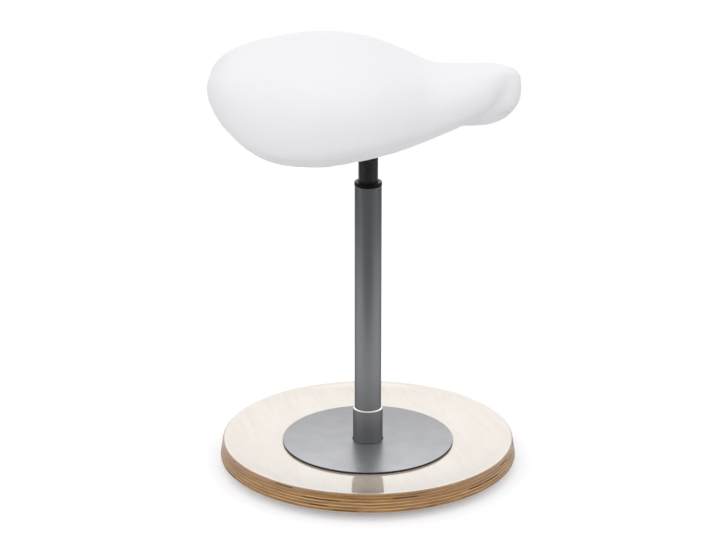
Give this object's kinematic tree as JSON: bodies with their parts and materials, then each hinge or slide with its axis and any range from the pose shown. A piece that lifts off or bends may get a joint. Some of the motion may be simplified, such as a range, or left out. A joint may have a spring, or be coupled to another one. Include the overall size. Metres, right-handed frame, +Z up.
{
  "type": "perch stool",
  "caption": "Perch stool with a dished plywood foot, a gas-lift column that turns and rises, and a padded saddle seat in a stretch cover.",
  "frame": {"origin": "on the floor under the column's axis, at the middle of the rubber pad's standing face", "axes": "+Z up along the column, +X towards the seat's nose, +Y towards the release lever"},
  "size_m": [0.435, 0.426, 0.62],
  "materials": {
    "pale_lacquered_plywood": "clear lacquered whitened birch face with a brown layered edge",
    "bare_plywood": "bare sanded plywood",
    "grey_lacquered_steel": "satin grey metallic lacquer",
    "plain_steel": "bright zinc plated and ground steel",
    "black_painted_steel": "black powder coat",
    "black_plastic": "moulded satin black",
    "black_rubber": "matt black",
    "pale_foam": "moulded open-cell polyurethane foam",
    "white_stretch_knit": "fine white stretch knit"
  },
  "bodies": {
    "base": {"grip_pad": "black_rubber", "plywood_foot": "pale_lacquered_plywood", "base_plate": "grey_lacquered_steel", "weld_nut_1": "plain_steel", "weld_nut_2": "plain_steel", "weld_nut_3": "plain_steel", "weld_nut_4": "plain_steel", "plate_screw_1": "plain_steel", "plate_screw_2": "plain_steel", "plate_screw_3": "plain_steel", "plate_screw_4": "plain_steel", "column_socket": "grey_lacquered_steel", "stand_tube": "grey_lacquered_steel", "tube_end_disc": "plain_steel", "guide_bush": "black_plastic", "lower_thrust_washer": "plain_steel", "bearing_cage": "black_plastic", "bearing_ball_1": "plain_steel", "bearing_ball_2": "plain_steel", "bearing_ball_3": "plain_steel", "bearing_ball_4": "plain_steel", "bearing_ball_5": "plain_steel", "bearing_ball_6": "plain_steel", "bearing_ball_7": "plain_steel", "bearing_ball_8": "plain_steel"},
    "rod": {"piston_rod": "plain_steel", "retaining_clip": "plain_steel", "end_washer": "plain_steel", "upper_thrust_washer": "plain_steel", "rubber_bumper": "black_rubber", "piston": "plain_steel"},
    "seat": {"gas_cylinder": "black_painted_steel", "rod_guide_seal": "black_plastic", "valve_housing": "plain_steel", "seat_bracket": "black_painted_steel", "taper_socket": "black_painted_steel", "lever_pivot_pin": "plain_steel", "seat_board": "bare_plywood", "tee_nut_1": "plain_steel", "tee_nut_2": "plain_steel", "tee_nut_3": "plain_steel", "tee_nut_4": "plain_steel", "bracket_screw_1": "plain_steel", "bracket_screw_2": "plain_steel", "bracket_screw_3": "plain_steel", "bracket_screw_4": "plain_steel", "seat_foam": "pale_foam", "seat_cover": "white_stretch_knit", "cover_hem_elastic": "white_stretch_knit"},
    "lever": {"release_lever": "plain_steel", "lever_handle": "black_plastic"},
    "valve": {"valve_pin": "plain_steel"}
  },
  "joints": [
    {"name": "seat_swivel", "type": "hinge", "parent": "base", "child": "rod", "pos_m": [0, 0, 0.043], "axis": [0, 0, 1], "continuous": true},
    {"name": "seat_height", "type": "slide", "parent": "rod", "child": "seat", "axis": [0, 0, 1], "range_m": [0, 0.26]},
    {"name": "release_lever_lift", "type": "hinge", "parent": "seat", "child": "lever", "pos_m": [0, 0.032, 0.5058], "axis": [1, 0, 0], "range_deg": [0, 7], "stiffness_Nm_per_rad": 1.5, "springref_deg": -5.73},
    {"name": "valve_pin_press", "type": "slide", "parent": "seat", "child": "valve", "axis": [0, 0, -1], "range_m": [0, 0.0046], "stiffness_N_per_m": 100}
  ],
  "couplings": [
    {"joint": "valve_pin_press", "follows": "release_lever_lift", "m_per_rad": 0.0344}
  ]
}
